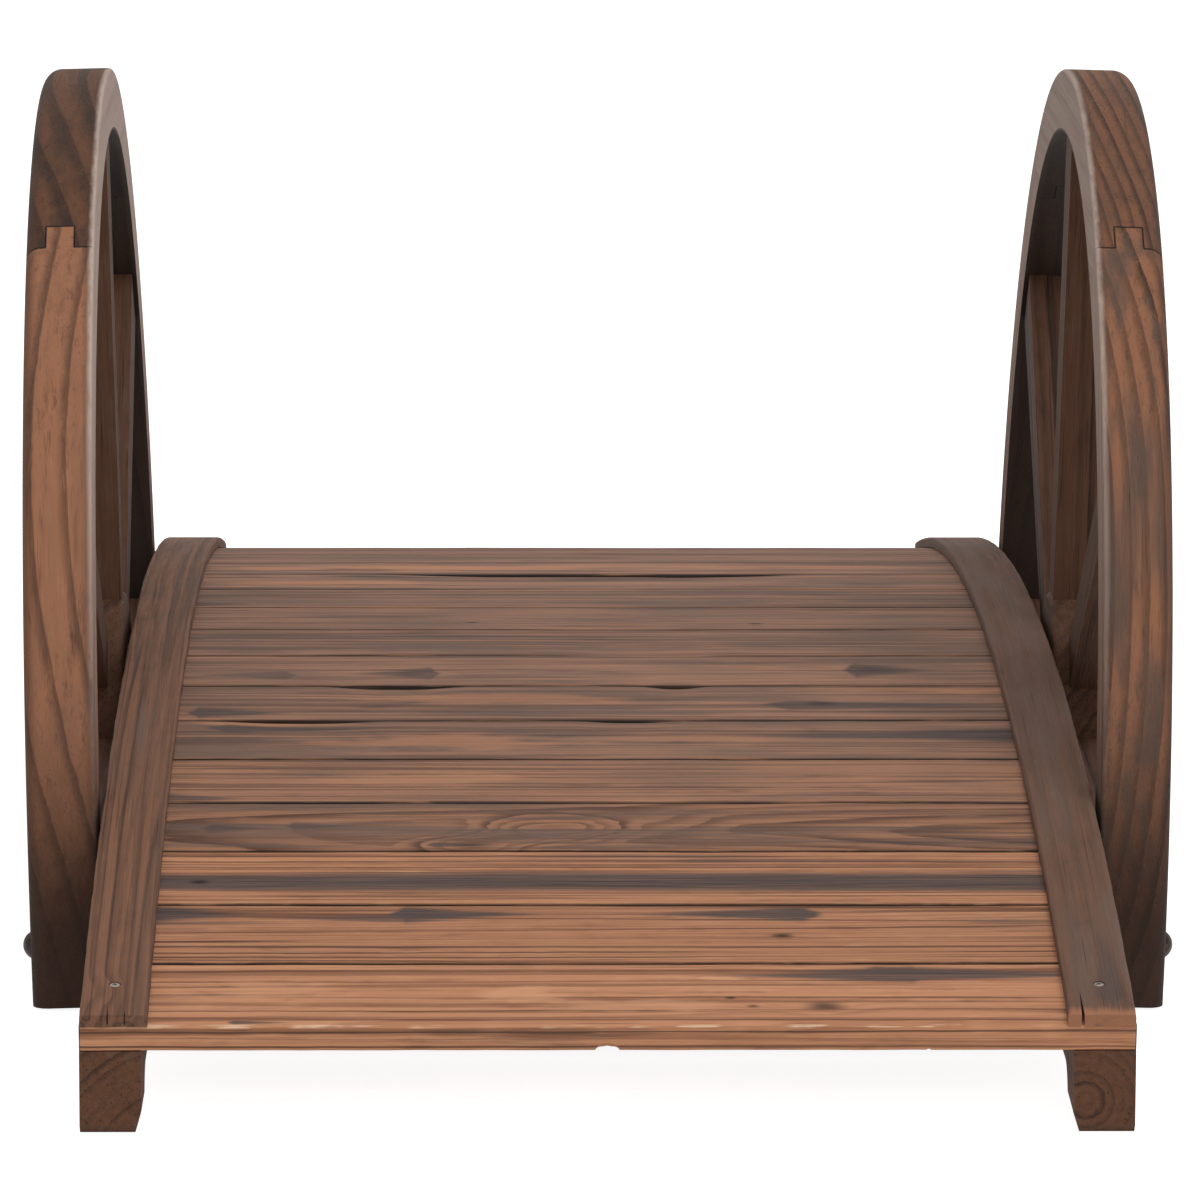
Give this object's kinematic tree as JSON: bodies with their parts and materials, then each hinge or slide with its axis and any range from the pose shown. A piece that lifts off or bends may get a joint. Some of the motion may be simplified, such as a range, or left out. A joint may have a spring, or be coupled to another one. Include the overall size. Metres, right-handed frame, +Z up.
{
  "type": "garden moon bridge",
  "caption": "Low arched wooden garden footbridge: plank deck on arched stringers with bent edge slats, and half a spoked wagon wheel bolted to each side as a rail.",
  "frame": {"origin": "on the ground below the middle of the deck", "axes": "+X across the bridge to the right, +Y along the deck away from the viewer, +Z up"},
  "size_m": [0.6884, 1.5232, 0.4997],
  "materials": {
    "deck_wood": "charred and brushed softwood, matt",
    "slat_wood": "dark stained softwood, matt",
    "frame_wood": "dark stained softwood, matt",
    "rim_wood": "charred and brushed softwood with bold grain, matt",
    "spoke_wood": "dark stained softwood, matt",
    "bolt_steel": "dark, slightly rusted"
  },
  "bodies": {
    "root": {"plank_01": "deck_wood", "plank_02": "deck_wood", "plank_03": "deck_wood", "plank_04": "deck_wood", "plank_05": "deck_wood", "plank_06": "deck_wood", "plank_07": "deck_wood", "plank_08": "deck_wood", "plank_09": "deck_wood", "plank_10": "deck_wood", "plank_11": "deck_wood", "plank_12": "deck_wood", "plank_13": "deck_wood", "plank_14": "deck_wood", "plank_15": "deck_wood", "plank_16": "deck_wood", "plank_17": "deck_wood", "plank_18": "deck_wood", "left_stringer": "frame_wood", "left_edge_strip": "slat_wood", "left_rim_front": "rim_wood", "left_rim_top": "rim_wood", "left_rim_back": "rim_wood", "left_spoke_front": "spoke_wood", "left_spoke_middle": "spoke_wood", "left_spoke_back": "spoke_wood", "left_hub": "spoke_wood", "left_base_rail": "spoke_wood", "left_front_bolt": "bolt_steel", "left_back_bolt": "bolt_steel", "right_stringer": "frame_wood", "right_edge_strip": "slat_wood", "right_rim_front": "rim_wood", "right_rim_top": "rim_wood", "right_rim_back": "rim_wood", "right_spoke_front": "spoke_wood", "right_spoke_middle": "spoke_wood", "right_spoke_back": "spoke_wood", "right_hub": "spoke_wood", "right_base_rail": "spoke_wood", "right_front_bolt": "bolt_steel", "right_back_bolt": "bolt_steel"}
  },
  "joints": []
}
